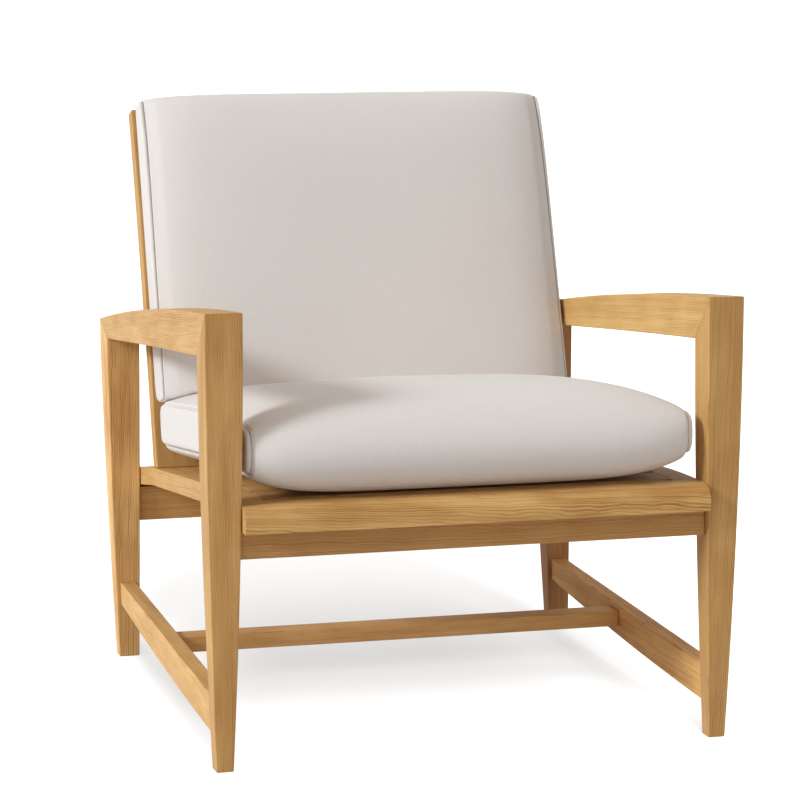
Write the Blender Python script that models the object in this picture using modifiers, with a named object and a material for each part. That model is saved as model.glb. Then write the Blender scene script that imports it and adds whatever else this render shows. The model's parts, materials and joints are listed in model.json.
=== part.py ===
"""Teak lounge armchair with loose seat and back cushions, in metres, +Z up, facing -Y.

Left and right are as seen by someone who faces the front of the chair, so left is -X.
Depths run back from the front face of the front legs at the arms, and heights run up from
the floor. A parent empty then centres the chair over the origin.
"""
import math
from collections import namedtuple

import bmesh
import bpy
from mathutils import Matrix, Vector

# Side frames: mitred arms on tapered legs
CHAIR_WIDTH = 0.740
FRAME_DEPTH = 0.792
MEMBER_WIDTH = 0.0505
ARM_FRONT_HEIGHT = 0.6105
ARM_FRONT_THICKNESS = 0.062
ARM_REAR_HEIGHT = 0.5115
ARM_REAR_THICKNESS = 0.0245
ARM_ARCH = 0.0097
ARM_UNDERSIDE_ARCH = 0.0015
FRONT_LEG_DEPTH = 0.054
FRONT_LEG_FRONT_TAPER = 0.0145
FRONT_LEG_REAR_TAPER = 0.013
FRONT_LEG_SIDE_TAPER = 0.0135
FRONT_LEG_TAPER_POWER = 1.84
REAR_LEG_DEPTH = 0.059
REAR_LEG_FRONT_SWEEP = 0.0218
REAR_LEG_REAR_SWEEP = 0.0545
REAR_LEG_SIDE_TAPER = 0.0101
REAR_LEG_TAPER_POWER = 1.45

# Low stretchers
STRETCHER_THICKNESS = 0.0234
STRETCHER_FRONT_TOP = 0.0966
STRETCHER_FRONT_HEIGHT = 0.0497
STRETCHER_REAR_TOP = 0.1136
STRETCHER_REAR_HEIGHT = 0.0326
STRETCHER_BELLY = 0.0046
CROSS_STRETCHER_DISTANCE = 0.4115
CROSS_STRETCHER_DEPTH = 0.0399
CROSS_STRETCHER_HEIGHT = 0.0228
CROSS_STRETCHER_RISE = 0.0033

# Aprons under the seat frame
APRON_THICKNESS = 0.022
FRONT_APRON_HEIGHT = 0.0372
FRONT_APRON_SETBACK = 0.0097
REAR_APRON_HEIGHT = 0.052

# Seat frame: its top runs level over the front rail and bends into a straight slope
SEAT_FRONT_HEIGHT = 0.357
SEAT_SLOPE = 0.107
SEAT_CREST_DISTANCE = 0.030
SEAT_BEND_LENGTH = 0.220
SEAT_TAIL_SLOPE = 0.158
SEAT_SIDE_CLEARANCE = 0.0007
FRONT_RAIL_OVERHANG = 0.0143
FRONT_RAIL_DEPTH = 0.0545
FRONT_RAIL_HEIGHT = 0.0355
FRONT_RAIL_NOSE_RADIUS = 0.024
SIDE_RAIL_WIDTH = 0.036
SIDE_RAIL_HEIGHT = 0.027
REAR_BOARD_WIDTH = 0.148
REAR_BOARD_THICKNESS = 0.018
SEAT_SLAT_COUNT = 6
SEAT_SLAT_GAP = 0.012
SEAT_SLAT_THICKNESS = 0.016

# Back frame, reclined and slightly bowed
BACK_FOOT_INSET = 0.158
BACK_RECLINE = math.radians(18.6)
BACK_LENGTH = 0.5445
BACK_BOW = 0.006
STILE_WIDTH = 0.070
STILE_THICKNESS = 0.027
BACK_RAIL_HEIGHT = 0.058
BACK_RAIL_THICKNESS = 0.020
BACK_RAIL_END_DISTANCE = 0.012
BACK_SLAT_COUNT = 5
BACK_SLAT_WIDTH = 0.072
BACK_SLAT_THICKNESS = 0.014

# Joinery: a tenon keeps a wall of its own piece on every side, and stops short in its mortise
JOINT_GAP = 0.0003
TENON_WALL = 0.0045
LEG_TENON_LENGTH = 0.015
RAIL_TENON_LENGTH = 0.010
FRONT_TONGUE_REACH = 0.016
REAR_TONGUE_REACH = 0.007
TONGUE_THICKNESS = 0.012
TONGUE_WIDTH = 0.030
MITRE_TRIM = 0.012
STILE_TENON_LENGTH = 0.015
STILE_TENON_WALL = 0.009
DECK_TENON_CLEARANCE = 0.009

# Edges
FRAME_EDGE_RADIUS = 0.0016
SLAT_EDGE_RADIUS = 0.0010
EDGE_SEGMENTS = 2
EDGE_ANGLE = math.radians(30)

# Cushions: side panels between two seams, with crowned panels over them
CUSHION_CROWN_POWER = 10
CUSHION_ROW_CLOSENESS = 1.6
CUSHION_END_FULLNESS = 0.72
CUSHION_SEAM_CREASE = 0.85
SEAT_CUSHION_SIDE_CLEARANCE = 0.010
SEAT_CUSHION_DRAW_IN = 0.004
SEAT_CUSHION_SHIFT = -0.005
SEAT_CUSHION_FRONT_SETBACK = 0.0225
SEAT_CUSHION_REAR_SETBACK = 0.004
SEAT_CUSHION_REAR_LEAN = 0.008
SEAT_CUSHION_NOSE = 0.035
SEAT_CUSHION_FRONT_DRAW_IN = 0.005
SEAT_CUSHION_CORNER_REACH = 0.008
SEAT_CUSHION_CORNER_NOSE = 0.008
SEAT_CUSHION_FRONT_FULLNESS = 0.55
SEAT_CUSHION_LOWER_SEAM = 0.0345
SEAT_CUSHION_PANEL_HEIGHT = 0.0635
SEAT_CUSHION_CROWN = 0.035
SEAT_CUSHION_CROWN_POWER = 7
SEAT_CUSHION_REAR_FULLNESS = 0.55
SEAT_CUSHION_REAR_POWER = 2
SEAT_CUSHION_UNDER_FULLNESS = 0.85
SEAT_CUSHION_REST = 0.0015
BACK_CUSHION_SIDE_CLEARANCE = 0.0045
BACK_CUSHION_REACH = 0.5507
BACK_CUSHION_PANEL_WIDTH = 0.053
BACK_CUSHION_HEAD_PANEL_WIDTH = 0.034
BACK_CUSHION_REAR_FLARE = 0.003
BACK_CUSHION_HEAD_NARROWING = 0.004
BACK_CUSHION_HEAD_CROWN = 0.0035
BACK_CUSHION_CROWN = 0.024
BACK_CUSHION_REST = 0.0006
BACK_CUSHION_FOOT_GAP = 0.0002

# Smoothness of sawn curves and shaped blanks
LEG_RINGS = 12
CURVE_STEPS = 14
NOSE_STEPS = 6
CUSHION_CELLS = 8
CUSHION_LAYERS = 3
FOOT_SEARCH_STEPS = 6
OUTLINE_FLAT_ANGLE = 0.001
WELD_DISTANCE = 0.00001

BACK_FOOT_DISTANCE = FRAME_DEPTH - BACK_FOOT_INSET
HALF_WIDTH = CHAIR_WIDTH / 2
ARM_INNER_FACE = HALF_WIDTH - MEMBER_WIDTH
MEMBER_CENTRE = HALF_WIDTH - MEMBER_WIDTH / 2
SIDES = (("left", -1), ("right", 1))

TEAK = (0.42, 0.235, 0.085, 1.0)
CANVAS = (0.80, 0.77, 0.73, 1.0)
TEAK_ROUGHNESS = 0.5
CANVAS_ROUGHNESS = 0.92

# The legs' law: each face moves by its sweep times the taper, which grows from arm to foot
Leg = namedtuple("Leg", "top front rear front_sweep rear_sweep side_taper power")
FRONT_LEG = Leg(ARM_FRONT_HEIGHT, 0.0, FRONT_LEG_DEPTH, FRONT_LEG_FRONT_TAPER,
                -FRONT_LEG_REAR_TAPER, FRONT_LEG_SIDE_TAPER, FRONT_LEG_TAPER_POWER)
REAR_LEG = Leg(ARM_REAR_HEIGHT, FRAME_DEPTH - REAR_LEG_DEPTH, FRAME_DEPTH, -REAR_LEG_FRONT_SWEEP,
               -REAR_LEG_REAR_SWEEP, REAR_LEG_SIDE_TAPER, REAR_LEG_TAPER_POWER)


def taper(leg, z):
    return max(0.0, 1.0 - z / leg.top) ** leg.power


def front_face(leg, z):
    return leg.front + leg.front_sweep * taper(leg, z)


def rear_face(leg, z):
    return leg.rear + leg.rear_sweep * taper(leg, z)


def inner_face(leg, z):
    return ARM_INNER_FACE + leg.side_taper * taper(leg, z)


def outer_face(leg, z):
    return HALF_WIDTH - leg.side_taper * taper(leg, z)


def mix(start, end, share):
    return start + (end - start) * share


def arch(share):
    """Parabola that is 0 at both ends and 1 in the middle."""
    return 4.0 * share * (1.0 - share)


def seat_top(y):
    """Height of the seat frame's top at a distance from the front."""
    bend = min(max(y - SEAT_CREST_DISTANCE, 0.0), SEAT_BEND_LENGTH)
    straight = max(y - SEAT_CREST_DISTANCE - SEAT_BEND_LENGTH, 0.0)
    return SEAT_FRONT_HEIGHT - SEAT_SLOPE * (bend * bend / (2.0 * SEAT_BEND_LENGTH) + straight)


def seat_angle(y):
    """Rotation about X that lays a flat piece along the seat's top."""
    bend = min(max(y - SEAT_CREST_DISTANCE, 0.0), SEAT_BEND_LENGTH)
    return -math.atan(SEAT_SLOPE * bend / SEAT_BEND_LENGTH)


SEAT_HALF_WIDTH = inner_face(FRONT_LEG, SEAT_FRONT_HEIGHT) - SEAT_SIDE_CLEARANCE
SIDE_RAIL_CENTRE = SEAT_HALF_WIDTH - SIDE_RAIL_WIDTH / 2
SIDE_RAIL_INNER = SEAT_HALF_WIDTH - SIDE_RAIL_WIDTH
FRONT_RAIL_REAR = FRONT_RAIL_DEPTH - FRONT_RAIL_OVERHANG
FRONT_APRON_TOP = SEAT_FRONT_HEIGHT - FRONT_RAIL_HEIGHT - JOINT_GAP
BACK_HALF_WIDTH = ARM_INNER_FACE - SEAT_SIDE_CLEARANCE
STILE_CENTRE = BACK_HALF_WIDTH - STILE_WIDTH / 2
STILE_INNER = BACK_HALF_WIDTH - STILE_WIDTH
SEAT_CUSHION_HALF_WIDTH = ARM_INNER_FACE - SEAT_CUSHION_SIDE_CLEARANCE
BACK_CUSHION_HALF_WIDTH = ARM_INNER_FACE - BACK_CUSHION_SIDE_CLEARANCE

# The back's own directions, as (depth, height): up along the stiles, and out of their front
BACK_UP = Vector((math.sin(BACK_RECLINE), math.cos(BACK_RECLINE)))
BACK_OUT = Vector((-math.cos(BACK_RECLINE), math.sin(BACK_RECLINE)))
BACK_FOOT = Vector((BACK_FOOT_DISTANCE, seat_top(BACK_FOOT_DISTANCE) + JOINT_GAP))


def back_point(up, out):
    """(depth, height) of a point given along and out from the line of the stiles' rear faces."""
    return BACK_FOOT + BACK_UP * up + BACK_OUT * out


def back_bow(up):
    return BACK_BOW * arch(up / BACK_LENGTH)


CHAIR_CENTRE = (back_point(BACK_LENGTH, 0.0).x - FRONT_RAIL_OVERHANG) / 2

for stale in list(bpy.data.objects):
    bpy.data.objects.remove(stale, do_unlink=True)

parts = bpy.data.collections.new("teak_armchair")
tools = bpy.data.collections.new("joinery_cutters")
for collection in (parts, tools):
    bpy.context.scene.collection.children.link(collection)
chair = bpy.data.objects.new("chair_centre", None)
chair.location = (0.0, -CHAIR_CENTRE, 0.0)
parts.objects.link(chair)


def principled(name, colour, roughness):
    material = bpy.data.materials.new(name)
    material.use_nodes = True
    shader = material.node_tree.nodes["Principled BSDF"]
    shader.inputs["Base Color"].default_value = colour
    shader.inputs["Roughness"].default_value = roughness
    shader.inputs["Metallic"].default_value = 0.0
    material.diffuse_color = colour
    return material


def add_part(name, mesh, location=(0.0, 0.0, 0.0), pitch=0.0, colour=TEAK, roughness=TEAK_ROUGHNESS):
    """One named piece of the chair, with its own material."""
    piece = bpy.data.objects.new(name, mesh)
    piece.data.materials.append(principled(name + "_finish", colour, roughness))
    piece.location = location
    piece.rotation_euler.x = pitch
    piece.parent = chair
    parts.objects.link(piece)
    return piece


def mesh_from(bm, name):
    mesh = bpy.data.meshes.new(name)
    bm.to_mesh(mesh)
    bm.free()
    return mesh


def box_mesh(name, size):
    bm = bmesh.new()
    bmesh.ops.create_cube(bm, size=1.0)
    bmesh.ops.scale(bm, vec=size, verts=bm.verts)
    return mesh_from(bm, name)


def slice_evenly(bm, axis, count):
    """Cut a cube that reaches from -1 to 1 into even layers along one axis."""
    normal = Vector((0.0, 0.0, 0.0))
    normal[axis] = 1.0
    for step in range(1, count):
        everything = bm.verts[:] + bm.edges[:] + bm.faces[:]
        bmesh.ops.bisect_plane(bm, geom=everything, plane_co=normal * (2.0 * step / count - 1.0),
                               plane_no=normal)


def sawn_board(name, outline, thickness, along_depth=True):
    """Board of even thickness, sawn to an outline of (depth, height) or (width, height) points."""
    curve = bpy.data.curves.new(name, "CURVE")
    curve.dimensions = "2D"
    curve.fill_mode = "BOTH"
    curve.extrude = thickness / 2
    spline = curve.splines.new("POLY")
    spline.points.add(len(outline) - 1)
    spline.use_cyclic_u = True
    for point, (across, height) in zip(spline.points, outline):
        point.co = (across, height, 0.0, 1.0)
    drawn = bpy.data.objects.new(name, curve)
    tools.objects.link(drawn)
    view_layer = bpy.context.view_layer
    view_layer.update()
    mesh = bpy.data.meshes.new_from_object(drawn.evaluated_get(bpy.context.evaluated_depsgraph_get()))
    bpy.data.objects.remove(drawn, do_unlink=True)
    bm = bmesh.new()
    bm.from_mesh(mesh)
    bpy.data.meshes.remove(mesh)
    bmesh.ops.remove_doubles(bm, verts=bm.verts, dist=WELD_DISTANCE)
    bmesh.ops.dissolve_limit(bm, angle_limit=OUTLINE_FLAT_ANGLE, verts=bm.verts, edges=bm.edges)
    upright = Matrix.Rotation(math.pi / 2, 4, "X")
    turned = Matrix.Rotation(math.pi / 2, 4, "Z")
    bm.transform(turned @ upright if along_depth else upright)
    bmesh.ops.recalc_face_normals(bm, faces=bm.faces)
    return mesh_from(bm, name)


def ease_edges(piece, radius):
    bevel = piece.modifiers.new("Eased edges", "BEVEL")
    bevel.width = radius
    bevel.segments = EDGE_SEGMENTS
    bevel.limit_method = "ANGLE"
    bevel.angle_limit = EDGE_ANGLE


def tool_box(name, size, location, pitch=0.0):
    tool = bpy.data.objects.new(name, box_mesh(name, size))
    tool.location = location
    tool.rotation_euler.x = pitch
    tool.parent = chair
    tool.hide_render = True
    tool.display_type = "WIRE"
    tools.objects.link(tool)
    return tool


def combine(piece, tool, operation):
    step = piece.modifiers.new(tool.name, "BOOLEAN")
    step.operation = operation
    step.solver = "EXACT"
    step.object = tool


def mortise(name, hosts, size, location, pitch=0.0):
    """Pocket for a tenon or tongue, larger than it by the joint gap all round."""
    pocket = tool_box(name + "_mortise", [length + 2 * JOINT_GAP for length in size], location, pitch)
    for host in hosts:
        combine(host, pocket, "DIFFERENCE")


def tenon(name, piece, hosts, size, location, pitch=0.0):
    """Tenon grown on a piece, with its mortise in each host that it enters."""
    combine(piece, tool_box(name + "_tenon", size, location, pitch), "UNION")
    mortise(name, hosts, size, location, pitch)


def make_leg(name, side, leg):
    """Square post in rings that follow the taper, left long for its mitre."""
    bm = bmesh.new()
    bmesh.ops.create_cube(bm, size=2.0)
    slice_evenly(bm, 2, LEG_RINGS)
    centre = Vector((side * MEMBER_CENTRE, mix(front_face(leg, 0.0), rear_face(leg, 0.0), 0.5), 0.0))
    for vert in bm.verts:
        z = (vert.co.z + 1.0) / 2.0 * (leg.top + MITRE_TRIM)
        x = side * (outer_face(leg, z) if vert.co.x * side > 0 else inner_face(leg, z))
        y = rear_face(leg, z) if vert.co.y > 0 else front_face(leg, z)
        vert.co = Vector((x, y, z)) - centre
    post = add_part(name, mesh_from(bm, name), centre)
    ease_edges(post, FRAME_EDGE_RADIUS)
    return post


def arm_outline():
    """Arched top and nearly straight underside, both run past the mitres."""
    shares = [mix(-MITRE_TRIM / FRAME_DEPTH, 1.0 + MITRE_TRIM / FRAME_DEPTH, step / CURVE_STEPS)
              for step in range(CURVE_STEPS + 1)]
    top = [(FRAME_DEPTH * share, mix(ARM_FRONT_HEIGHT, ARM_REAR_HEIGHT, share) + ARM_ARCH * arch(share))
           for share in shares]
    under_start = FRONT_LEG_DEPTH
    under_end = FRAME_DEPTH - REAR_LEG_DEPTH
    underside = []
    for depth, _ in reversed(top):
        share = (depth - under_start) / (under_end - under_start)
        height = mix(ARM_FRONT_HEIGHT - ARM_FRONT_THICKNESS, ARM_REAR_HEIGHT - ARM_REAR_THICKNESS, share)
        underside.append((depth, height + ARM_UNDERSIDE_ARCH * max(arch(share), 0.0)))
    return top + underside


def make_mitre(name, side, leg, post, arm, leg_outer, leg_inner, arm_thickness, reach):
    """Saw leg and arm to one plane through the corner, and let a loose tongue into both."""
    outer = Vector((leg_outer, leg.top))
    inner = Vector((leg_inner, leg.top - arm_thickness))
    along = (inner - outer).normalized()
    normal = Vector((-along.y, along.x))
    if normal.y < 0:
        normal.negate()
    pitch = math.atan2(-normal.x, normal.y)
    middle = (outer + inner) / 2
    waste_size = 2 * ((inner - outer).length + MITRE_TRIM)
    for piece, away in ((post, 1), (arm, -1)):
        centre = middle + normal * away * (waste_size - JOINT_GAP) / 2
        waste = tool_box(f"{name}_{piece.name}_waste", (2 * MEMBER_WIDTH, waste_size, waste_size),
                         (side * MEMBER_CENTRE, centre.x, centre.y), pitch)
        combine(piece, waste, "DIFFERENCE")
    size = (TONGUE_THICKNESS, TONGUE_WIDTH, 2 * reach)
    place = (side * MEMBER_CENTRE, middle.x, middle.y)
    mortise(name, (post, arm), size, place, pitch)
    add_part(name + "_tongue", box_mesh(name + "_tongue", size), place, pitch)


def stretcher_share(y):
    """Share of the way from the front leg to the rear leg, at the stretcher's height."""
    start = rear_face(FRONT_LEG, STRETCHER_FRONT_TOP)
    end = front_face(REAR_LEG, STRETCHER_REAR_TOP)
    return (y - start) / (end - start)


def stretcher_top(share):
    return mix(STRETCHER_FRONT_TOP, STRETCHER_REAR_TOP, share)


def stretcher_bottom(share):
    front = STRETCHER_FRONT_TOP - STRETCHER_FRONT_HEIGHT
    rear = STRETCHER_REAR_TOP - STRETCHER_REAR_HEIGHT
    return mix(front, rear, share) - STRETCHER_BELLY * arch(share)


def make_side_stretcher(name, side, front_post, rear_post):
    """Deep at the front, slim at the rear, with a bellied lower edge and shoulders on the legs."""
    outline = []
    for edge, shares in ((stretcher_bottom, range(CURVE_STEPS + 1)), (stretcher_top, (CURVE_STEPS, 0))):
        for step in shares:
            share = step / CURVE_STEPS
            height = edge(share)
            front = rear_face(FRONT_LEG, height) + JOINT_GAP
            rear = front_face(REAR_LEG, height) - JOINT_GAP
            outline.append((mix(front, rear, share), height))
    rail = add_part(name, sawn_board(name, outline, STRETCHER_THICKNESS), (side * MEMBER_CENTRE, 0.0, 0.0))
    ease_edges(rail, FRAME_EDGE_RADIUS)
    width = STRETCHER_THICKNESS - 2 * TENON_WALL
    ends = (("front", 0.0, front_post, rear_face(FRONT_LEG, STRETCHER_FRONT_TOP)),
            ("rear", 1.0, rear_post, front_face(REAR_LEG, STRETCHER_REAR_TOP)))
    for end, share, post, face in ends:
        height = stretcher_top(share) - stretcher_bottom(share) - 2 * TENON_WALL
        middle = mix(stretcher_bottom(share), stretcher_top(share), 0.5)
        tenon(f"{name}_{end}", rail, (post,), (width, 2 * LEG_TENON_LENGTH, height),
              (side * MEMBER_CENTRE, face, middle))
    return rail


def make_cross_stretcher(hosts):
    share = stretcher_share(CROSS_STRETCHER_DISTANCE)
    height = mix(stretcher_bottom(share), stretcher_top(share), 0.5) + CROSS_STRETCHER_RISE
    place = (0.0, CROSS_STRETCHER_DISTANCE, height)
    length = 2 * (MEMBER_CENTRE - STRETCHER_THICKNESS / 2 - JOINT_GAP)
    rail = add_part("cross_stretcher", box_mesh("cross_stretcher",
                    (length, CROSS_STRETCHER_DEPTH, CROSS_STRETCHER_HEIGHT)), place)
    ease_edges(rail, FRAME_EDGE_RADIUS)
    tenon("cross_stretcher", rail, hosts,
          (length + 2 * RAIL_TENON_LENGTH, CROSS_STRETCHER_DEPTH - 2 * TENON_WALL,
           CROSS_STRETCHER_HEIGHT - 2 * TENON_WALL), place)


def make_apron(name, leg, posts, top, height, distance):
    """Rail between two legs, its ends sawn to the taper of their inner faces."""
    heights = (top - height, top)
    reach = [inner_face(leg, z) - JOINT_GAP for z in heights]
    right_end = list(zip(reach, heights))
    outline = right_end + [(-across, z) for across, z in reversed(right_end)]
    board = sawn_board(name, outline, APRON_THICKNESS, along_depth=False)
    rail = add_part(name, board, (0.0, distance, 0.0))
    ease_edges(rail, FRAME_EDGE_RADIUS)
    tenon(name, rail, posts,
          (2 * (min(reach) + LEG_TENON_LENGTH), APRON_THICKNESS - 2 * TENON_WALL, height - 2 * TENON_WALL),
          (0.0, distance, mix(heights[0], heights[1], 0.5)))


def make_front_rail():
    """Rail with a round nose, level underneath, that carries the front of the seat."""
    nose = -FRONT_RAIL_OVERHANG
    bottom = SEAT_FRONT_HEIGHT - FRONT_RAIL_HEIGHT
    outline = [(FRONT_RAIL_REAR, seat_top(FRONT_RAIL_REAR)), (FRONT_RAIL_REAR, bottom), (nose, bottom)]
    for step in range(NOSE_STEPS + 1):
        turn = math.pi / 2 * (2.0 - step / NOSE_STEPS)
        outline.append((nose + FRONT_RAIL_NOSE_RADIUS * (1.0 + math.cos(turn)),
                        SEAT_FRONT_HEIGHT - FRONT_RAIL_NOSE_RADIUS * (1.0 - math.sin(turn))))
    rail = add_part("seat_front_rail", sawn_board("seat_front_rail", outline, 2 * SEAT_HALF_WIDTH))
    ease_edges(rail, SLAT_EDGE_RADIUS)
    return rail


def seat_tail(y):
    """Top of the side rails, which drop more steeply behind the back's feet."""
    return seat_top(min(y, BACK_FOOT_DISTANCE)) - SEAT_TAIL_SLOPE * max(y - BACK_FOOT_DISTANCE, 0.0)


def make_side_rail(name, side, tail_end, front_rail):
    """Bent rail, sawn in one piece from the front rail to the rear apron."""
    start = FRONT_RAIL_REAR + JOINT_GAP
    bend_end = SEAT_CREST_DISTANCE + SEAT_BEND_LENGTH
    depths = [mix(start, bend_end, step / CURVE_STEPS) for step in range(CURVE_STEPS + 1)]
    depths += [BACK_FOOT_DISTANCE, tail_end]
    outline = [(y, seat_tail(y)) for y in depths]
    outline += [(y, seat_tail(y) - SIDE_RAIL_HEIGHT) for y in reversed(depths)]
    rail = add_part(name, sawn_board(name, outline, SIDE_RAIL_WIDTH), (side * SIDE_RAIL_CENTRE, 0.0, 0.0))
    ease_edges(rail, SLAT_EDGE_RADIUS)
    tenon(name + "_front", rail, (front_rail,),
          (SIDE_RAIL_WIDTH - 2 * TENON_WALL, 2 * RAIL_TENON_LENGTH, SIDE_RAIL_HEIGHT - 2 * TENON_WALL),
          (side * SIDE_RAIL_CENTRE, start, seat_top(start) - SIDE_RAIL_HEIGHT / 2), seat_angle(start))
    return rail


def make_deck_board(name, start, width, thickness, rails):
    """Board across the seat, flush with the side rails and tenoned into both."""
    y = start + width / 2
    angle = seat_angle(y)
    drop = Vector((math.sin(angle), -math.cos(angle))) * thickness / 2
    place = (0.0, y + drop.x, seat_top(y) + drop.y)
    length = 2 * (SIDE_RAIL_INNER - JOINT_GAP)
    board = add_part(name, box_mesh(name, (length, width, thickness)), place, angle)
    ease_edges(board, SLAT_EDGE_RADIUS)
    tenon(name, board, rails, (length + 2 * RAIL_TENON_LENGTH, width - 2 * TENON_WALL,
                               thickness - 2 * TENON_WALL), place, angle)


def make_deck(rails):
    """Wide board under the back, and slats from there to the front rail."""
    board_start = BACK_FOOT_DISTANCE + JOINT_GAP - REAR_BOARD_WIDTH
    make_deck_board("seat_rear_board", board_start, REAR_BOARD_WIDTH, REAR_BOARD_THICKNESS, rails)
    pitch = (board_start - FRONT_RAIL_REAR - SEAT_SLAT_GAP) / SEAT_SLAT_COUNT
    for index in range(SEAT_SLAT_COUNT):
        start = FRONT_RAIL_REAR + SEAT_SLAT_GAP + pitch * index
        make_deck_board(f"seat_slat_{index + 1}", start, pitch - SEAT_SLAT_GAP, SEAT_SLAT_THICKNESS, rails)


def make_stile(name, side, side_rail):
    """Bowed stile with its foot sawn to the slope of the seat."""
    rear = []
    front = []
    for step in range(CURVE_STEPS + 1):
        up = BACK_LENGTH * step / CURVE_STEPS
        rear.append(back_point(up, back_bow(up)))
        front.append(back_point(up, back_bow(up) + STILE_THICKNESS))
    above_seat = front[0].y - seat_top(front[0].x) - JOINT_GAP
    front[0] = front[0] - BACK_UP * above_seat / (BACK_UP.y + SEAT_SLOPE * BACK_UP.x)
    outline = [tuple(point) for point in rear + front[::-1]]
    stile = add_part(name, sawn_board(name, outline, STILE_WIDTH), (side * STILE_CENTRE, 0.0, 0.0))
    ease_edges(stile, FRAME_EDGE_RADIUS)
    foot = back_point(0.0, STILE_THICKNESS / 2)
    width = SIDE_RAIL_WIDTH - RAIL_TENON_LENGTH - DECK_TENON_CLEARANCE - TENON_WALL
    tenon(name, stile, (side_rail,),
          (width, STILE_THICKNESS - 2 * STILE_TENON_WALL, 2 * STILE_TENON_LENGTH),
          (side * (SEAT_HALF_WIDTH - TENON_WALL - width / 2), foot.x, foot.y), -BACK_RECLINE)
    return stile


def make_back(stiles):
    """Two rails between the stiles, and upright slats between the rails."""
    core = STILE_THICKNESS / 2
    low = BACK_RAIL_END_DISTANCE + BACK_RAIL_HEIGHT / 2
    high = BACK_LENGTH - BACK_RAIL_END_DISTANCE - BACK_RAIL_HEIGHT / 2
    length = 2 * (STILE_INNER - JOINT_GAP)
    rails = []
    for name, up in (("back_bottom_rail", low), ("back_top_rail", high)):
        centre = back_point(up, back_bow(up) + core)
        place = (0.0, centre.x, centre.y)
        rail = add_part(name, box_mesh(name, (length, BACK_RAIL_THICKNESS, BACK_RAIL_HEIGHT)),
                        place, -BACK_RECLINE)
        ease_edges(rail, SLAT_EDGE_RADIUS)
        tenon(name, rail, stiles, (length + 2 * RAIL_TENON_LENGTH, BACK_RAIL_THICKNESS - 2 * TENON_WALL,
                                   BACK_RAIL_HEIGHT - 2 * TENON_WALL), place, -BACK_RECLINE)
        rails.append(rail)
    slat_length = high - low - BACK_RAIL_HEIGHT - 2 * JOINT_GAP
    centre = back_point((low + high) / 2, back_bow(low) + core)
    gap = (length - BACK_SLAT_COUNT * BACK_SLAT_WIDTH) / (BACK_SLAT_COUNT + 1)
    for index in range(BACK_SLAT_COUNT):
        name = f"back_slat_{index + 1}"
        place = ((gap + BACK_SLAT_WIDTH) * (index - (BACK_SLAT_COUNT - 1) / 2), centre.x, centre.y)
        slat = add_part(name, box_mesh(name, (BACK_SLAT_WIDTH, BACK_SLAT_THICKNESS, slat_length)),
                        place, -BACK_RECLINE)
        ease_edges(slat, SLAT_EDGE_RADIUS)
        tenon(name, slat, rails, (BACK_SLAT_WIDTH - 2 * TENON_WALL, BACK_SLAT_THICKNESS - 2 * TENON_WALL,
                                  slat_length + 2 * RAIL_TENON_LENGTH), place, -BACK_RECLINE)


def fullness(across, along, at_ends=CUSHION_END_FULLNESS, power=CUSHION_CROWN_POWER):
    """Crown of a cushion panel: 1 in the middle, 0 along the side seams, part of it at the ends."""
    return (1.0 - abs(across) ** power) * mix(1.0, at_ends, abs(along) ** CUSHION_CROWN_POWER)


def row_place(share):
    """Place of a row of a cushion's cage: rows lie closer where the cover rolls over to its seams."""
    return math.copysign(1.0 - (1.0 - abs(share)) ** CUSHION_ROW_CLOSENESS, share)


SEAT_CUSHION_FRONT = SEAT_CUSHION_FRONT_SETBACK
SEAT_CUSHION_REAR = (BACK_FOOT_DISTANCE - STILE_THICKNESS / math.cos(BACK_RECLINE)
                     - SEAT_CUSHION_REAR_SETBACK + SEAT_CUSHION_REAR_LEAN)


def seat_cushion_height(across, along, layer):
    """Height over the seat of the bottom (-1) to the top (1) of the seat cushion.

    The top falls away over its rear half, where the back cushion sits on it.
    """
    full = fullness(across, along, SEAT_CUSHION_FRONT_FULLNESS, SEAT_CUSHION_CROWN_POWER)
    under = fullness(across, along, SEAT_CUSHION_UNDER_FULLNESS)
    bottom = SEAT_CUSHION_LOWER_SEAM * (1.0 - under) + SEAT_CUSHION_REST
    if along > 0.0:
        full = fullness(across, 0.0, power=SEAT_CUSHION_CROWN_POWER)
        full *= mix(1.0, SEAT_CUSHION_REAR_FULLNESS, along ** SEAT_CUSHION_REAR_POWER)
    top = SEAT_CUSHION_LOWER_SEAM + SEAT_CUSHION_PANEL_HEIGHT + SEAT_CUSHION_CROWN * full
    return mix(bottom, top, (layer + 1.0) / 2.0)


def seat_cushion_point(across, along, layer):
    """Along -1 is the front of the cushion, round in the middle and nearly upright at its side seams."""
    draw_in = SEAT_CUSHION_DRAW_IN * (1.0 - along * along)
    draw_in += SEAT_CUSHION_FRONT_DRAW_IN * max(-along, 0.0) ** CUSHION_CROWN_POWER
    corner = abs(across) ** CUSHION_CROWN_POWER
    nose = mix(SEAT_CUSHION_NOSE, SEAT_CUSHION_CORNER_NOSE, corner)
    bulge = nose * (1.0 - layer * layer) if along <= -1.0 else 0.0
    front = SEAT_CUSHION_FRONT - SEAT_CUSHION_CORNER_REACH * corner
    rear = SEAT_CUSHION_REAR + SEAT_CUSHION_REAR_LEAN * (layer - 1.0) / 2.0
    y = mix(front, rear, (along + 1.0) / 2.0) - bulge
    return Vector((across * (SEAT_CUSHION_HALF_WIDTH - draw_in) + SEAT_CUSHION_SHIFT, y,
                   seat_top(y) + seat_cushion_height(across, along, layer)))


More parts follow.
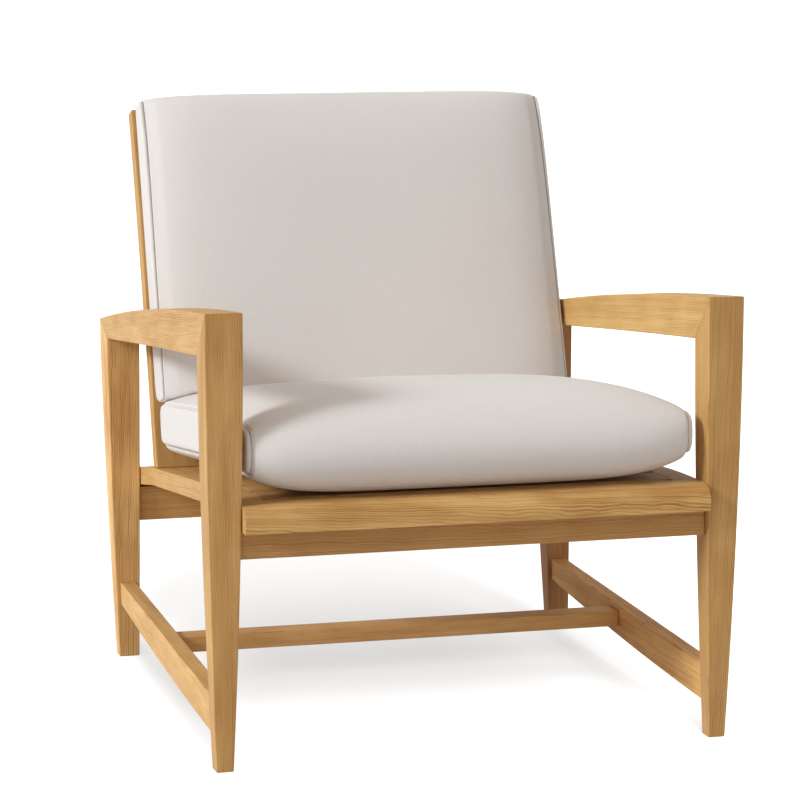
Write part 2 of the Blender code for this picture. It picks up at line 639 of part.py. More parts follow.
def back_cushion_foot(out):
    """Distance up the back at which the back cushion's cage sits on the seat cushion's middle."""
    up = 0.0
    for _ in range(FOOT_SEARCH_STEPS):
        y = back_point(up, out).x
        share = (y - SEAT_CUSHION_FRONT) / (SEAT_CUSHION_REAR - SEAT_CUSHION_FRONT)
        along = min(2.0 * share - 1.0, 1.0)
        height = seat_top(y) + seat_cushion_height(0.0, along, 1.0) + BACK_CUSHION_FOOT_GAP
        up += (height - back_point(up, out).y) / BACK_UP.y
    return up


def back_cushion_point(across, along, layer):
    """Layer -1 lies against the back frame, along -1 rests on the seat cushion."""
    share = (along + 1.0) / 2.0
    flare = BACK_CUSHION_REAR_FLARE * (1.0 - layer) / 2.0
    half_width = BACK_CUSHION_HALF_WIDTH + flare - BACK_CUSHION_HEAD_NARROWING * share
    panel = mix(BACK_CUSHION_PANEL_WIDTH, BACK_CUSHION_HEAD_PANEL_WIDTH, share ** CUSHION_CROWN_POWER)
    swell = BACK_CUSHION_CROWN * fullness(across, along)
    out = STILE_THICKNESS + BACK_BOW + BACK_CUSHION_REST + (panel + swell) * (layer + 1.0) / 2.0
    head = BACK_CUSHION_REACH + BACK_CUSHION_HEAD_CROWN * fullness(across, 0.0)
    point = back_point(mix(back_cushion_foot(out), head, share), out)
    return Vector((across * half_width, point.x, point.y))


def at_limit(value):
    return abs(value) > 1.0 - WELD_DISTANCE


def round_side_panel(co):
    return at_limit(co.x) and (at_limit(co.y) or at_limit(co.z))


def along_front_foot(co):
    """On the seam under the front panel, which dies away before it meets the side panels."""
    return co.y < 0.0 and at_limit(co.y) and co.z > 0.0 and at_limit(co.z) and not at_limit(co.x)


def make_cushion(name, shape, foot_seam=False):
    """Soft cage shaped by a law, creased along the seams round its side panels and its foot."""
    bm = bmesh.new()
    bmesh.ops.create_cube(bm, size=2.0)
    slice_evenly(bm, 0, CUSHION_CELLS)
    slice_evenly(bm, 1, CUSHION_CELLS)
    slice_evenly(bm, 2, CUSHION_LAYERS)
    crease = bm.edges.layers.float.new("crease_edge")
    for edge in bm.edges:
        ends = [vert.co for vert in edge.verts]
        foot = foot_seam and all(along_front_foot(co) for co in ends)
        if foot or all(round_side_panel(co) for co in ends):
            edge[crease] = CUSHION_SEAM_CREASE
    for vert in bm.verts:
        across, along, layer = vert.co
        vert.co = shape(row_place(across), row_place(along), layer)
    bmesh.ops.recalc_face_normals(bm, faces=bm.faces)
    cushion = add_part(name, mesh_from(bm, name), colour=CANVAS, roughness=CANVAS_ROUGHNESS)
    smooth = cushion.modifiers.new("Soft form", "SUBSURF")
    smooth.levels = 1
    smooth.render_levels = 1
    cushion.data.shade_smooth()


def make_side_frame(label, side):
    """Legs, arm and stretcher of one side, as (front leg, rear leg, stretcher)."""
    front_post = make_leg(label + "_front_leg", side, FRONT_LEG)
    rear_post = make_leg(label + "_rear_leg", side, REAR_LEG)
    arm = add_part(label + "_arm", sawn_board(label + "_arm", arm_outline(), MEMBER_WIDTH),
                   (side * MEMBER_CENTRE, 0.0, 0.0))
    ease_edges(arm, FRAME_EDGE_RADIUS)
    make_mitre(label + "_front_mitre", side, FRONT_LEG, front_post, arm, FRONT_LEG.front, FRONT_LEG.rear,
               ARM_FRONT_THICKNESS, FRONT_TONGUE_REACH)
    make_mitre(label + "_rear_mitre", side, REAR_LEG, rear_post, arm, REAR_LEG.rear, REAR_LEG.front,
               ARM_REAR_THICKNESS, REAR_TONGUE_REACH)
    stretcher = make_side_stretcher(label + "_side_stretcher", side, front_post, rear_post)
    return front_post, rear_post, stretcher


frames = [make_side_frame(label, side) for label, side in SIDES]
front_posts, rear_posts, stretchers = zip(*frames)
make_cross_stretcher(stretchers)

apron_middle = FRONT_APRON_TOP - FRONT_APRON_HEIGHT / 2
apron_distance = front_face(FRONT_LEG, apron_middle) + FRONT_APRON_SETBACK + APRON_THICKNESS / 2
make_apron("front_apron", FRONT_LEG, front_posts, FRONT_APRON_TOP, FRONT_APRON_HEIGHT, apron_distance)

rear_apron_middle = seat_tail(REAR_LEG.front) - SIDE_RAIL_HEIGHT - REAR_APRON_HEIGHT / 2
rear_leg_faces = front_face(REAR_LEG, rear_apron_middle), rear_face(REAR_LEG, rear_apron_middle)
rear_apron_distance = sum(rear_leg_faces) / 2
tail_end = rear_apron_distance + APRON_THICKNESS / 2
rear_apron_top = seat_tail(tail_end) - SIDE_RAIL_HEIGHT - JOINT_GAP
make_apron("rear_apron", REAR_LEG, rear_posts, rear_apron_top, REAR_APRON_HEIGHT, rear_apron_distance)

seat_front_rail = make_front_rail()
side_rails = [make_side_rail(label + "_seat_side_rail", side, tail_end, seat_front_rail)
              for label, side in SIDES]
make_deck(side_rails)
stiles = [make_stile(label + "_back_stile", side, side_rail)
          for (label, side), side_rail in zip(SIDES, side_rails)]
make_back(stiles)
make_cushion("seat_cushion", seat_cushion_point)
make_cushion("back_cushion", back_cushion_point, foot_seam=True)
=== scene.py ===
import json
import math
import random

import bmesh
import bpy
import numpy as np
from mathutils import Matrix, Vector
from mathutils.bvhtree import BVHTree

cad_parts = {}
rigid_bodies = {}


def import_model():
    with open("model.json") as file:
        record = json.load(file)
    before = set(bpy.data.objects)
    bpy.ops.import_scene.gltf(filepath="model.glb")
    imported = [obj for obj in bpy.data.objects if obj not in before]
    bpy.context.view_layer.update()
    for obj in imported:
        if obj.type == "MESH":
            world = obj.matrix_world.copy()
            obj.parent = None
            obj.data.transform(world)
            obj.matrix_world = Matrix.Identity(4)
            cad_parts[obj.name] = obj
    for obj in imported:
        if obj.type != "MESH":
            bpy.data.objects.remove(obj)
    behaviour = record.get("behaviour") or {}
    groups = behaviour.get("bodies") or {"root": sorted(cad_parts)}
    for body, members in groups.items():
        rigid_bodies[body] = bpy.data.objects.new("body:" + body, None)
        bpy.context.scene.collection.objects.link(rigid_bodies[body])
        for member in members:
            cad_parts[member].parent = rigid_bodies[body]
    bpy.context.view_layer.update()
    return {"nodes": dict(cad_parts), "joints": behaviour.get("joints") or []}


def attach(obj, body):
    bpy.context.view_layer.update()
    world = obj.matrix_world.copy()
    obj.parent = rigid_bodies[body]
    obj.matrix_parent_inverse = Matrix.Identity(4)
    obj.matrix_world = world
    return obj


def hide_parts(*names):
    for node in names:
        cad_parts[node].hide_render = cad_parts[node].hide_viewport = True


# Camera, fitted to the photograph: metres, radians, and pixels of the image.
IMAGE_SIZE = 800
CAMERA_PLACE = (-1.1735, -4.3024, 1.0940)
CAMERA_YAW = -0.2703
CAMERA_PITCH = -0.1449
FOCAL_PIXELS = 3126.2
CENTRE_PIXEL = (413.86, 389.0)
SENSOR_WIDTH = 36.0

# Light on the object: strengths are what a white surface facing the light would show.
AMBIENT_STRENGTH = 0.57
AMBIENT_TILT = (-0.45, -0.10, 0.20)
AMBIENT_COLOUR = (1.0, 0.963, 0.922)
KEY_STRENGTH = 0.67
KEY_COLOUR = (1.0, 1.13, 1.22)
KEY_TRAVEL = (0.82, 0.21, -0.45)
KEY_SPREAD = math.radians(14.0)
WHITE = (1.0, 1.0, 1.0)

# Floor, and the lights that fall on it alone: strengths are on the floor, spreads in degrees.
FLOOR_SIZE = 40.0
FLOOR_DROP = 0.0004
FLOOR_ALBEDO = 0.225
FLOOR_SEEN_ALBEDO = 0.33
FLOOR_GLOW = 0.59
FLOOR_LIGHTS = {"front_floor_light": {"strength": 1.35, "travel": (0.10, 0.83, -0.55), "spread": 30.0},
                "top_floor_light": {"strength": 0.78, "travel": (0.0, 0.50, -1.0), "spread": 60.0}}

# Teak: lengths in metres, colours linear.
TEAK_LIGHT = (0.612, 0.356, 0.130)
TEAK_MIDDLE = (0.490, 0.260, 0.082)
TEAK_DARK = (0.310, 0.116, 0.030)
TEAK_ROUGHNESS = 0.60
TEAK_SPECULAR = 0.24
RING_SPACING = 0.0024
RING_WANDER = 0.020
RING_RIPPLE = 0.0045
LATE_WOOD_RISE = (0.35, 0.86)
LATE_WOOD_FALL = (0.86, 1.0)
FAINTEST_RING = 0.22
FIGURE_WEIGHTS = {"late": 0.60, "fibre": 0.65, "streak": 0.50, "cloud": 0.90}
FIGURE_BASE = 0.27
LIGHT_FIGURE = (0.0, 0.45)
DARK_FIGURE = (0.45, 1.1)
PORE_EDGE = (0.10, 0.24)
PORE_SHADE = 0.28
ROUGHNESS_WEIGHTS = {"fibre": 0.20, "late": -0.06}
RELIEF_WEIGHTS = {"late": 0.35, "pore": -0.8, "fibre": 0.6}
PITH_NEAR = 0.10
PITH_FAR = 0.22
PITH_SWING = 0.35
GRAIN_SLOPE = 0.07
CROSSWISE = 0.7
# Colour factors of some boards: partly their own tone, partly painted light and painted shade. The left
# rear leg, the stretchers and the rear apron are painted brighter as painted bounce light. The right
# rear leg, the right seat rail and the first slat are painted darker as the painted shadow of the
# cushions. The arms and the front rail are painted paler and bluer as a painted sheen.
BOARD_TONES_AND_PAINTED_LIGHT = {"left_rear_leg": (1.31, 1.37, 1.50), "left_side_stretcher": (1.14, 1.18, 1.24),
               "cross_stretcher": (1.19, 1.19, 1.26), "right_side_stretcher": (1.22, 1.17, 1.06),
               "rear_apron": (1.30, 1.30, 1.30), "right_front_leg": (0.95, 0.95, 0.95),
               "front_apron": (0.92, 0.88, 0.90), "right_rear_leg": (0.86, 0.74, 0.84),
               "right_seat_side_rail": (0.70, 0.70, 0.74), "seat_slat_1": (0.80, 0.78, 0.92),
               "left_arm": (1.06, 1.10, 1.18), "right_arm": (1.08, 1.16, 1.24),
               "seat_front_rail": (1.05, 1.09, 1.10)}
PLAIN_TONE = (1.0, 1.0, 1.0)
BOARD_FIGURES = {"seat_front_rail": 1.8, "left_rear_leg": 1.5, "right_side_stretcher": 1.4}
BOARD_SHIFT = 8.0
GRAIN_DEPTH = 0.00008

# Noise of the grain: turns per metre along a board and across it.
WANDER_TURNS = (2.4, 9.0, 9.0)
RIPPLE_TURNS = (24.0, 45.0, 45.0)
FIBRE_TURNS = (5.0, 300.0, 300.0)
STREAK_TURNS = (2.0, 60.0, 60.0)
CLOUD_TURNS = (9.0, 24.0, 24.0)
PORE_TURNS = (55.0, 1300.0, 1300.0)

# Edges of the boards, as they shade.
NORMAL_WELD = 0.00001
SHARP_ANGLE = math.radians(50.0)

# Canvas: lengths in metres, colours linear, noise in turns per metre.
CANVAS_COLOUR = (0.713, 0.656, 0.617)
# Painted shade along the seams: the canvas is darkened in the seam grooves, where shade falls.
PAINTED_SEAM_SHADE = (0.24, 0.22, 0.20)
PAINTED_SEAM_SHADE_EDGE = (0.25, 0.90)
SIDE_PANEL_EDGE = (0.70, 0.80)
CANVAS_ROUGHNESS = 0.92
SLUB_ROUGHNESS = 0.05
CANVAS_SHEEN = 0.15
CANVAS_SHEEN_ROUGHNESS = 0.5
THREAD_PITCH = 0.0011
THREAD_DEPTH = 0.00008
THREAD_CONTRAST = 0.02
THREAD_RELIEF = 0.5
SLUB_TURNS = (25.0, 700.0)
SLUB_CONTRAST = 0.07
SOIL_TURNS = 6.0
SOIL_CONTRAST = 0.03

# Cushions, in metres; rows lie side by side, from a seam inwards.
WELD_DISTANCE = 0.00005
SIDE_PANEL_FACING = 0.75
ROUND_INSET = 0.030
SIDE_STEPS = 80
END_STEPS = 32
BODY_ROWS = 70
ROLL_ROWS = (0.0, 0.033, 0.083, 0.15, 0.23, 0.33, 0.46, 0.60, 0.75, 0.88)
SEAT_ROLL = {"width": 0.048, "power": 2.5}
BACK_ROLL = {"width": 0.024, "power": 1.6}
PANEL_ROWS = (0.05, 0.14, 0.30, 0.60, 1.0)
SEAM_INSET = 0.0030
SEAT_PANEL_BULGE = 0.0032
BACK_PANEL_BULGE = 0.0012
PANEL_POWER = 16
BODY_SMOOTHING = 2.0
ROUND_SMOOTHING = 1.6
SWELL_START = 0.006
SWELL_EXTRA = 0.0020
SUPPORT_FACING = 0.30
SWELL_SMOOTHING = 5.0
SEAM_EASE_ROWS = 5.0
CLOTH_FRAMES = 20
CLOTH_SETTINGS = {"quality": 6, "mass": 0.3, "tension_stiffness": 20.0, "compression_stiffness": 20.0,
                  "shear_stiffness": 10.0, "bending_stiffness": 2.0, "use_pressure": True,
                  "uniform_pressure_force": 4.0}
GROOVE_DEPTH = 0.0032
WELT_RADIUS = 0.0014
WELT_LIFT = 0.0012
FOOT_SETTLE_HEIGHT = 0.080
FOOT_SETTLE_CLEARANCE = 0.0003
FOOT_MARGIN = 0.004
FOOT_DROP_LIMIT = 0.020
FOOT_SAMPLES = (41, 13)
NEARLY_PARALLEL = 1e-12
EDGE_TOLERANCE = 1e-6


for stale in list(bpy.data.objects):
    bpy.data.objects.remove(stale, do_unlink=True)
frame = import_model()
scene = bpy.context.scene


class Graph:
    """Short calls for building a node tree."""

    def __init__(self, tree):
        self.tree = tree

    def add(self, kind, inputs=None, **settings):
        node = self.tree.nodes.new(kind)
        for key, value in settings.items():
            setattr(node, key, value)
        for key, value in (inputs or {}).items():
            self.put(node.inputs[key], value)
        return node

    def put(self, socket, value):
        if isinstance(value, bpy.types.NodeSocket):
            self.tree.links.new(value, socket)
        else:
            socket.default_value = value

    def math(self, operation, first, second=0.0, third=0.0):
        node = self.add("ShaderNodeMath", {0: first, 1: second, 2: third}, operation=operation)
        return node.outputs[0]

    def weighted(self, parts, weights):
        """Sum of the parts that have a weight, each times its weight."""
        total = 0.0
        for name, weight in weights.items():
            total = self.math("MULTIPLY_ADD", parts[name], weight, total)
        return total

    def scaled(self, vector, factors):
        node = self.add("ShaderNodeVectorMath", {0: vector, 1: factors}, operation="MULTIPLY")
        return node.outputs[0]

    def noise(self, vector, detail=2.0, roughness=0.5):
        """Noise about zero, from -0.5 to 0.5."""
        inputs = {"Vector": vector, "Scale": 1.0, "Detail": detail, "Roughness": roughness}
        node = self.add("ShaderNodeTexNoise", inputs)
        return self.math("SUBTRACT", node.outputs["Fac"], 0.5)

    def ramp(self, value, low, high, smooth=True):
        """0 below low, 1 above high."""
        kind = "SMOOTHSTEP" if smooth else "LINEAR"
        inputs = {"Value": value, "From Min": low, "From Max": high}
        node = self.add("ShaderNodeMapRange", inputs, interpolation_type=kind)
        return node.outputs["Result"]

    def mix(self, factor, first, second, blend="MIX"):
        node = self.add("ShaderNodeMix", data_type="RGBA", blend_type=blend)
        self.put(node.inputs["Factor"], factor)
        self.put(node.inputs["A"], colour(first))
        self.put(node.inputs["B"], colour(second))
        return node.outputs["Result"]


def colour(value):
    """Three numbers with an alpha of 1, or whatever else is given as it is."""
    return (*value, 1.0) if isinstance(value, tuple) and len(value) == 3 else value


def new_material(name):
    material = bpy.data.materials.new(name)
    material.use_nodes = True
    material.node_tree.nodes.clear()
    return material, Graph(material.node_tree)


def surface(graph, base, roughness, height, depth, **constants):
    """Shader with a base colour, a roughness and a relief from nodes."""
    bump = graph.add("ShaderNodeBump", {"Height": height, "Distance": depth, "Strength": 1.0})
    inputs = {"Base Color": base, "Roughness": roughness, "Normal": bump.outputs["Normal"]}
    shader = graph.add("ShaderNodeBsdfPrincipled", inputs)
    for key, value in constants.items():
        shader.inputs[key.replace("_", " ")].default_value = value
    output = graph.add("ShaderNodeOutputMaterial")
    graph.put(output.inputs["Surface"], shader.outputs["BSDF"])


def make_grain_group():
    """Growth rings, fibres and pores of a board that runs along X with its pith on the X axis."""
    group = bpy.data.node_groups.new("teak_grain", "ShaderNodeTree")
    sockets = (("Board", "INPUT", "Vector"), ("Tone_and_painted_light", "INPUT", "Vector"),
               ("Figure", "INPUT", "Float"), ("Color", "OUTPUT", "Color"),
               ("Roughness", "OUTPUT", "Float"), ("Height", "OUTPUT", "Float"))
    for name, way, kind in sockets:
        group.interface.new_socket(name, in_out=way, socket_type="NodeSocket" + kind)
    graph = Graph(group)
    given = graph.add("NodeGroupInput").outputs
    board = given["Board"]

    across = graph.scaled(board, (0.0, 1.0, 1.0))
    radius = graph.add("ShaderNodeVectorMath", {0: across}, operation="LENGTH").outputs["Value"]
    wander = graph.math("MULTIPLY", graph.noise(graph.scaled(board, WANDER_TURNS)), RING_WANDER)
    ripple = graph.math("MULTIPLY", graph.noise(graph.scaled(board, RIPPLE_TURNS)), RING_RIPPLE)
    warped = graph.math("ADD", graph.math("ADD", radius, wander), ripple)
    phase = graph.math("DIVIDE", warped, RING_SPACING)
    ring = graph.math("FRACT", phase)
    year = graph.math("FLOOR", phase)
    rise = graph.ramp(ring, *LATE_WOOD_RISE)
    fall = graph.math("SUBTRACT", 1.0, graph.ramp(ring, *LATE_WOOD_FALL))
    late = graph.math("MULTIPLY", rise, fall)
    season = graph.add("ShaderNodeTexWhiteNoise", {"W": year}, noise_dimensions="1D").outputs["Value"]
    season = graph.math("POWER", season, 2.0)
    strength = graph.math("MULTIPLY_ADD", season, 1.0 - FAINTEST_RING, FAINTEST_RING)
    parts = {"late": graph.math("MULTIPLY", late, strength),
             "fibre": graph.noise(graph.scaled(board, FIBRE_TURNS), detail=3.0, roughness=0.6),
             "streak": graph.noise(graph.scaled(board, STREAK_TURNS)),
             "cloud": graph.noise(graph.scaled(board, CLOUD_TURNS)),
             "pore": graph.ramp(graph.noise(graph.scaled(board, PORE_TURNS), detail=1.0), *PORE_EDGE)}

    figure = graph.weighted(parts, FIGURE_WEIGHTS)
    figure = graph.math("MULTIPLY_ADD", figure, given["Figure"], FIGURE_BASE)
    lower = graph.mix(graph.ramp(figure, *LIGHT_FIGURE, smooth=False), TEAK_LIGHT, TEAK_MIDDLE)
    tint = graph.mix(graph.ramp(figure, *DARK_FIGURE, smooth=False), lower, TEAK_DARK)
    tint = graph.mix(graph.math("MULTIPLY", parts["pore"], PORE_SHADE), tint, TEAK_DARK)
    rough = graph.math("ADD", graph.weighted(parts, ROUGHNESS_WEIGHTS), TEAK_ROUGHNESS)
    end = graph.add("NodeGroupOutput")
    # The board's colour factor: part tone, part painted light and painted shade.
    graph.put(end.inputs["Color"], graph.scaled(tint, given["Tone_and_painted_light"]))
    graph.put(end.inputs["Roughness"], rough)
    graph.put(end.inputs["Height"], graph.weighted(parts, RELIEF_WEIGHTS))
    return group


def mesh_points(mesh):
    points = np.empty(len(mesh.vertices) * 3)
    mesh.vertices.foreach_get("co", points)
    return points.reshape(-1, 3)


def board_axes(points):
    """Rows that turn a place in the part into a board's own axes: along, across, and through."""
    spread = points - points.mean(axis=0)
    along = np.linalg.svd(spread.T @ spread)[0][:, 0]
    along = Vector(along).normalized()
    guide = Vector((0.0, 0.0, 1.0)) if abs(along.x) > CROSSWISE else Vector((1.0, 0.0, 0.0))
    across = (guide - along * guide.dot(along)).normalized()
    return Matrix((along, across, along.cross(across)))


def teak(name, points, grain):
    """Material of one board, cut from its own place in a log."""
    draw = random.Random(name)
    slope = Matrix.Rotation(draw.uniform(-GRAIN_SLOPE, GRAIN_SLOPE), 3, draw.choice("YZ"))
    axes = slope @ board_axes(points)
    centre = axes @ Vector(points.mean(axis=0))
    corner = draw.randrange(4) * math.pi / 2 + math.pi / 4
    angle = corner + draw.uniform(-PITH_SWING, PITH_SWING)
    reach = draw.uniform(PITH_NEAR, PITH_FAR)
    along = draw.uniform(-BOARD_SHIFT, BOARD_SHIFT)
    shift = Vector((along, reach * math.cos(angle), reach * math.sin(angle)))
    material, graph = new_material("teak_" + name)
    place = graph.add("ShaderNodeTexCoord").outputs["Object"]
    inputs = {"Vector": place, "Rotation": axes.to_euler(), "Location": shift - centre}
    mapped = graph.add("ShaderNodeMapping", inputs, vector_type="POINT")
    ring = graph.add("ShaderNodeGroup", node_tree=grain)
    graph.put(ring.inputs["Board"], mapped.outputs["Vector"])
    # Per-board colour factor: part tone, part painted light and painted shade.
    graph.put(ring.inputs["Tone_and_painted_light"], BOARD_TONES_AND_PAINTED_LIGHT.get(name, PLAIN_TONE))
    graph.put(ring.inputs["Figure"], BOARD_FIGURES.get(name, 1.0))
    outputs = ring.outputs
    surface(graph, outputs["Color"], outputs["Roughness"], outputs["Height"], GRAIN_DEPTH,
            Specular_IOR_Level=TEAK_SPECULAR)
    return material


def make_canvas():
    """Plain-woven cloth: threads along and across each panel, with slubs, and painted shade along the
    seams.
    """
    material, graph = new_material("canvas_cloth")
    space = graph.add("ShaderNodeTexCoord").outputs
    place = graph.add("ShaderNodeSeparateXYZ", {0: space["Object"]})
    facing = graph.add("ShaderNodeSeparateXYZ", {0: space["Normal"]})
    side = graph.ramp(graph.math("ABSOLUTE", facing.outputs["X"]), *SIDE_PANEL_EDGE)
    x, y, z = (place.outputs[axis] for axis in "XYZ")
    along = graph.math("ADD", y, z)

    def blended(first, second):
        node = graph.add("ShaderNodeMix", data_type="FLOAT")
        graph.put(node.inputs["Factor"], side)
        graph.put(node.inputs["A"], first)
        graph.put(node.inputs["B"], second)
        return node.outputs["Result"]

    weft = blended(x, y)
    warp = blended(along, z)
    threads = []
    for course in (weft, warp):
        turns = graph.math("MULTIPLY", course, math.tau / THREAD_PITCH)
        threads.append(graph.math("SINE", turns))
    weave = graph.math("MULTIPLY", threads[0], threads[1])
    flat = graph.add("ShaderNodeCombineXYZ", {"X": weft, "Y": warp}).outputs["Vector"]
    weft_slub = graph.noise(graph.scaled(flat, (*SLUB_TURNS, 1.0)))
    warp_slub = graph.noise(graph.scaled(flat, (*reversed(SLUB_TURNS), 1.0)))
    slub = graph.math("ADD", weft_slub, warp_slub)
    soil = graph.noise(graph.scaled(flat, (SOIL_TURNS, SOIL_TURNS, 1.0)), detail=3.0)
    shade = graph.math("MULTIPLY_ADD", slub, SLUB_CONTRAST, 1.0)
    shade = graph.math("MULTIPLY_ADD", soil, SOIL_CONTRAST, shade)
    shade = graph.math("MULTIPLY_ADD", weave, THREAD_CONTRAST, shade)
    grey = graph.add("ShaderNodeCombineXYZ", {"X": shade, "Y": shade, "Z": shade}).outputs["Vector"]
    tint = graph.mix(1.0, CANVAS_COLOUR, grey, "MULTIPLY")
    # The sewn rows of the seams get painted shade: a darker colour in the groove.
    sewn = graph.add("ShaderNodeAttribute", attribute_name="sewn").outputs["Fac"]
    tint = graph.mix(graph.ramp(sewn, *PAINTED_SEAM_SHADE_EDGE), tint, PAINTED_SEAM_SHADE)
    rough = graph.math("MULTIPLY_ADD", slub, SLUB_ROUGHNESS, CANVAS_ROUGHNESS)
    height = graph.math("MULTIPLY_ADD", weave, THREAD_RELIEF, slub)
    surface(graph, tint, rough, height, THREAD_DEPTH,
            Sheen_Weight=CANVAS_SHEEN, Sheen_Roughness=CANVAS_SHEEN_ROUGHNESS)
    return material


def make_shading_group():
    """Joins the split corners of a carried-over solid, so that its rounded edges shade smoothly."""
    group = bpy.data.node_groups.new("smooth_edges", "GeometryNodeTree")
    group.interface.new_socket("Geometry", in_out="INPUT", socket_type="NodeSocketGeometry")
    group.interface.new_socket("Geometry", in_out="OUTPUT", socket_type="NodeSocketGeometry")
    graph = Graph(group)
    shape = graph.add("NodeGroupInput").outputs["Geometry"]
    for attribute in ("custom_normal", "sharp_edge", "sharp_face"):
        node = graph.add("GeometryNodeRemoveAttribute", {"Geometry": shape, "Name": attribute})
        shape = node.outputs["Geometry"]
    merge = graph.add("GeometryNodeMergeByDistance", {"Geometry": shape, "Distance": NORMAL_WELD})
    angle = graph.add("GeometryNodeInputMeshEdgeAngle").outputs["Unsigned Angle"]
    blunt = graph.add("FunctionNodeCompare", operation="LESS_THAN", data_type="FLOAT")
    graph.put(blunt.inputs["A"], angle)
    graph.put(blunt.inputs["B"], SHARP_ANGLE)
    smooth = graph.add("GeometryNodeSetShadeSmooth", domain="EDGE")
    graph.put(smooth.inputs["Geometry"], merge.outputs["Geometry"])
    graph.put(smooth.inputs["Shade Smooth"], blunt.outputs["Result"])
    end = graph.add("NodeGroupOutput")
    graph.put(end.inputs["Geometry"], smooth.outputs["Geometry"])
    return group


def dress_boards():
    grain = make_grain_group()
    shading = make_shading_group()
    for name, board in frame["nodes"].items():
        if name.endswith("_cushion"):
            continue
        board.data.materials[0] = teak(name, mesh_points(board.data), grain)
        board.modifiers.new("smooth_edges", "NODES").node_group = shading
        board.modifiers.new("flat_faces", "WEIGHTED_NORMAL").keep_sharp = True


def welded(node):
    """A node's mesh with its split corners joined again."""
    form = bmesh.new()
    form.from_mesh(frame["nodes"][node].data)
    bmesh.ops.remove_doubles(form, verts=form.verts, dist=WELD_DISTANCE)
    form.normal_update()
    return form


def side_rim(form, sign):
    """Corner points, in order, round the side panel on one side of a cushion."""
    panel = {face for face in form.faces if sign * face.normal.x > SIDE_PANEL_FACING}
    rim = [edge for edge in form.edges if sum(face in panel for face in edge.link_faces) == 1]
    steps = {}
    for edge in rim:
        for vert in edge.verts:
            steps.setdefault(vert, []).append(edge.other_vert(vert))
    start = max(steps, key=lambda vert: vert.co.z)
    loop = [start]
    last = None
    while True:
        following = [vert for vert in steps[loop[-1]] if vert is not last]
        last = loop[-1]
        if following[0] is start:
            break
        loop.append(following[0])
    return np.array([vert.co[:] for vert in loop])


def rounds(rim, axes):
    """Starts and directions, in a cushion's section, of rays that go once round its middle line."""
    flat = rim @ axes.T
    low, high = flat[:, 0].min(), flat[:, 0].max()
    quarter = (high - low) / 4
    ends = []
    for near, place in ((flat[:, 0] < low + quarter, low), (flat[:, 0] > high - quarter, high)):
        level = (flat[near, 1].min() + flat[near, 1].max()) / 2
        inset = ROUND_INSET if place == low else -ROUND_INSET
        ends.append(np.array((place + inset, level)))
    first, last = ends
    run = np.linspace(0.0, 1.0, SIDE_STEPS, endpoint=False)[:, None]
    turn = np.linspace(0.0, math.pi, END_STEPS, endpoint=False)
    starts = [first + (last - first) * run, np.tile(last, (END_STEPS, 1))]
    starts += [last + (first - last) * run, np.tile(first, (END_STEPS, 1))]
    ways = [np.tile((0.0, 1.0), (SIDE_STEPS, 1)), np.stack([np.sin(turn), np.cos(turn)], axis=1)]
    ways += [-way for way in ways]
    return np.vstack(starts), np.vstack(ways)


def met_rim(rim, axes, starts, ways):
    """Where the rays meet the rim of a side panel, as points of the part."""
    flat = rim @ axes.T
    ahead = np.roll(flat, -1, axis=0)
    found = []
    for start, way in zip(starts, ways):
        edge = ahead - flat
        cross = way[0] * edge[:, 1] - way[1] * edge[:, 0]
        cross = np.where(np.abs(cross) < NEARLY_PARALLEL, NEARLY_PARALLEL, cross)
        gap = flat - start
        reach = (gap[:, 0] * edge[:, 1] - gap[:, 1] * edge[:, 0]) / cross
        share = (gap[:, 0] * way[1] - gap[:, 1] * way[0]) / cross
        fits = (share >= -EDGE_TOLERANCE) & (share <= 1.0 + EDGE_TOLERANCE) & (reach > 0.0)
        best = np.where(fits, reach, np.inf).argmin()
        found.append(rim[best] + (np.roll(rim, -1, axis=0)[best] - rim[best]) * share[best])
    return np.array(found)


def met_body(tree, x, axes, starts, ways):
    """Where the rays meet the cushion's solid, in the section at x."""
    found = []
    for start, way in zip(starts, ways):
        origin = Vector((x, *(start @ axes)[1:]))
        found.append(tree.ray_cast(origin, Vector(way @ axes))[0][:])
    return np.array(found)


def eased(grid, spread, axis):
    """The grid smoothed along one of its directions, with little loss of size."""
    reach = int(3 * spread) + 1
    offsets = np.arange(-reach, reach + 1)
    weights = np.exp(-0.5 * (offsets / spread) ** 2)
    weights /= weights.sum()

    def once(values):
        if axis == 1:
            return sum(w * np.roll(values, -o, axis=1) for o, w in zip(offsets, weights))
        rows = np.arange(len(values))
        last = len(values) - 1
        total = 0.0
        for o, w in zip(offsets, weights):
            taken = rows + o
            inside = np.clip(taken, 0, last)
            mirror = np.clip(2 * inside - taken, 0, last)
            total = total + w * (2.0 * values[inside] - values[mirror])
        return total

    smooth = once(grid)
    return 2.0 * smooth - once(smooth)


def mesh_normals(mesh):
    values = np.empty(len(mesh.vertices) * 3)
    mesh.vertices.foreach_get("normal", values)
    return values.reshape(-1, 3)


def set_points(mesh, points):
    mesh.vertices.foreach_set("co", points.ravel())
    mesh.update()


